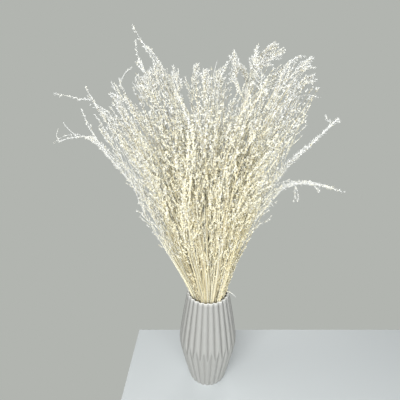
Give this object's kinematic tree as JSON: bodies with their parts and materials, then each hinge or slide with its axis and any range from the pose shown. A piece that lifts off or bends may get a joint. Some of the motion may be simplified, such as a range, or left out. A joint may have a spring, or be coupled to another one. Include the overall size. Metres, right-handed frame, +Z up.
{
  "type": "vase of dried star grass",
  "caption": "Pleated matt ceramic vase holding a wide, shallow fan of feathery dried star grass plumes; stands on its flat foot.",
  "frame": {"origin": "middle of the vase's flat foot, on the surface it stands on", "axes": "+Z up through the vase's mouth; -Y the front, towards the viewer; +X to the viewer's right"},
  "size_m": [0.4823, 0.2973, 0.6574],
  "materials": {
    "ceramic": "matte",
    "dried_grass": "matte"
  },
  "bodies": {
    "root": {"vase": "ceramic", "spray_01": "dried_grass", "spray_02": "dried_grass", "spray_03": "dried_grass", "spray_04": "dried_grass", "spray_05": "dried_grass", "spray_06": "dried_grass", "spray_07": "dried_grass", "spray_08": "dried_grass", "spray_09": "dried_grass", "spray_10": "dried_grass", "spray_11": "dried_grass", "spray_12": "dried_grass", "spray_13": "dried_grass", "spray_14": "dried_grass", "spray_15": "dried_grass", "spray_16": "dried_grass", "spray_17": "dried_grass", "spray_18": "dried_grass", "spray_19": "dried_grass", "spray_20": "dried_grass", "spray_21": "dried_grass", "spray_22": "dried_grass", "spray_23": "dried_grass", "spray_24": "dried_grass", "spray_25": "dried_grass", "spray_26": "dried_grass", "spray_27": "dried_grass", "spray_28": "dried_grass", "spray_29": "dried_grass", "spray_30": "dried_grass", "spray_31": "dried_grass", "spray_32": "dried_grass", "spray_33": "dried_grass", "spray_34": "dried_grass", "spray_35": "dried_grass", "spray_36": "dried_grass", "spray_37": "dried_grass", "spray_38": "dried_grass", "spray_39": "dried_grass", "spray_40": "dried_grass", "spray_41": "dried_grass", "spray_42": "dried_grass", "spray_43": "dried_grass", "spray_44": "dried_grass", "spray_45": "dried_grass", "spray_46": "dried_grass", "spray_47": "dried_grass", "spray_48": "dried_grass", "spray_49": "dried_grass", "spray_50": "dried_grass", "spray_51": "dried_grass", "spray_52": "dried_grass", "spray_53": "dried_grass", "spray_54": "dried_grass", "spray_55": "dried_grass", "spray_56": "dried_grass", "spray_57": "dried_grass", "spray_58": "dried_grass"}
  },
  "joints": []
}
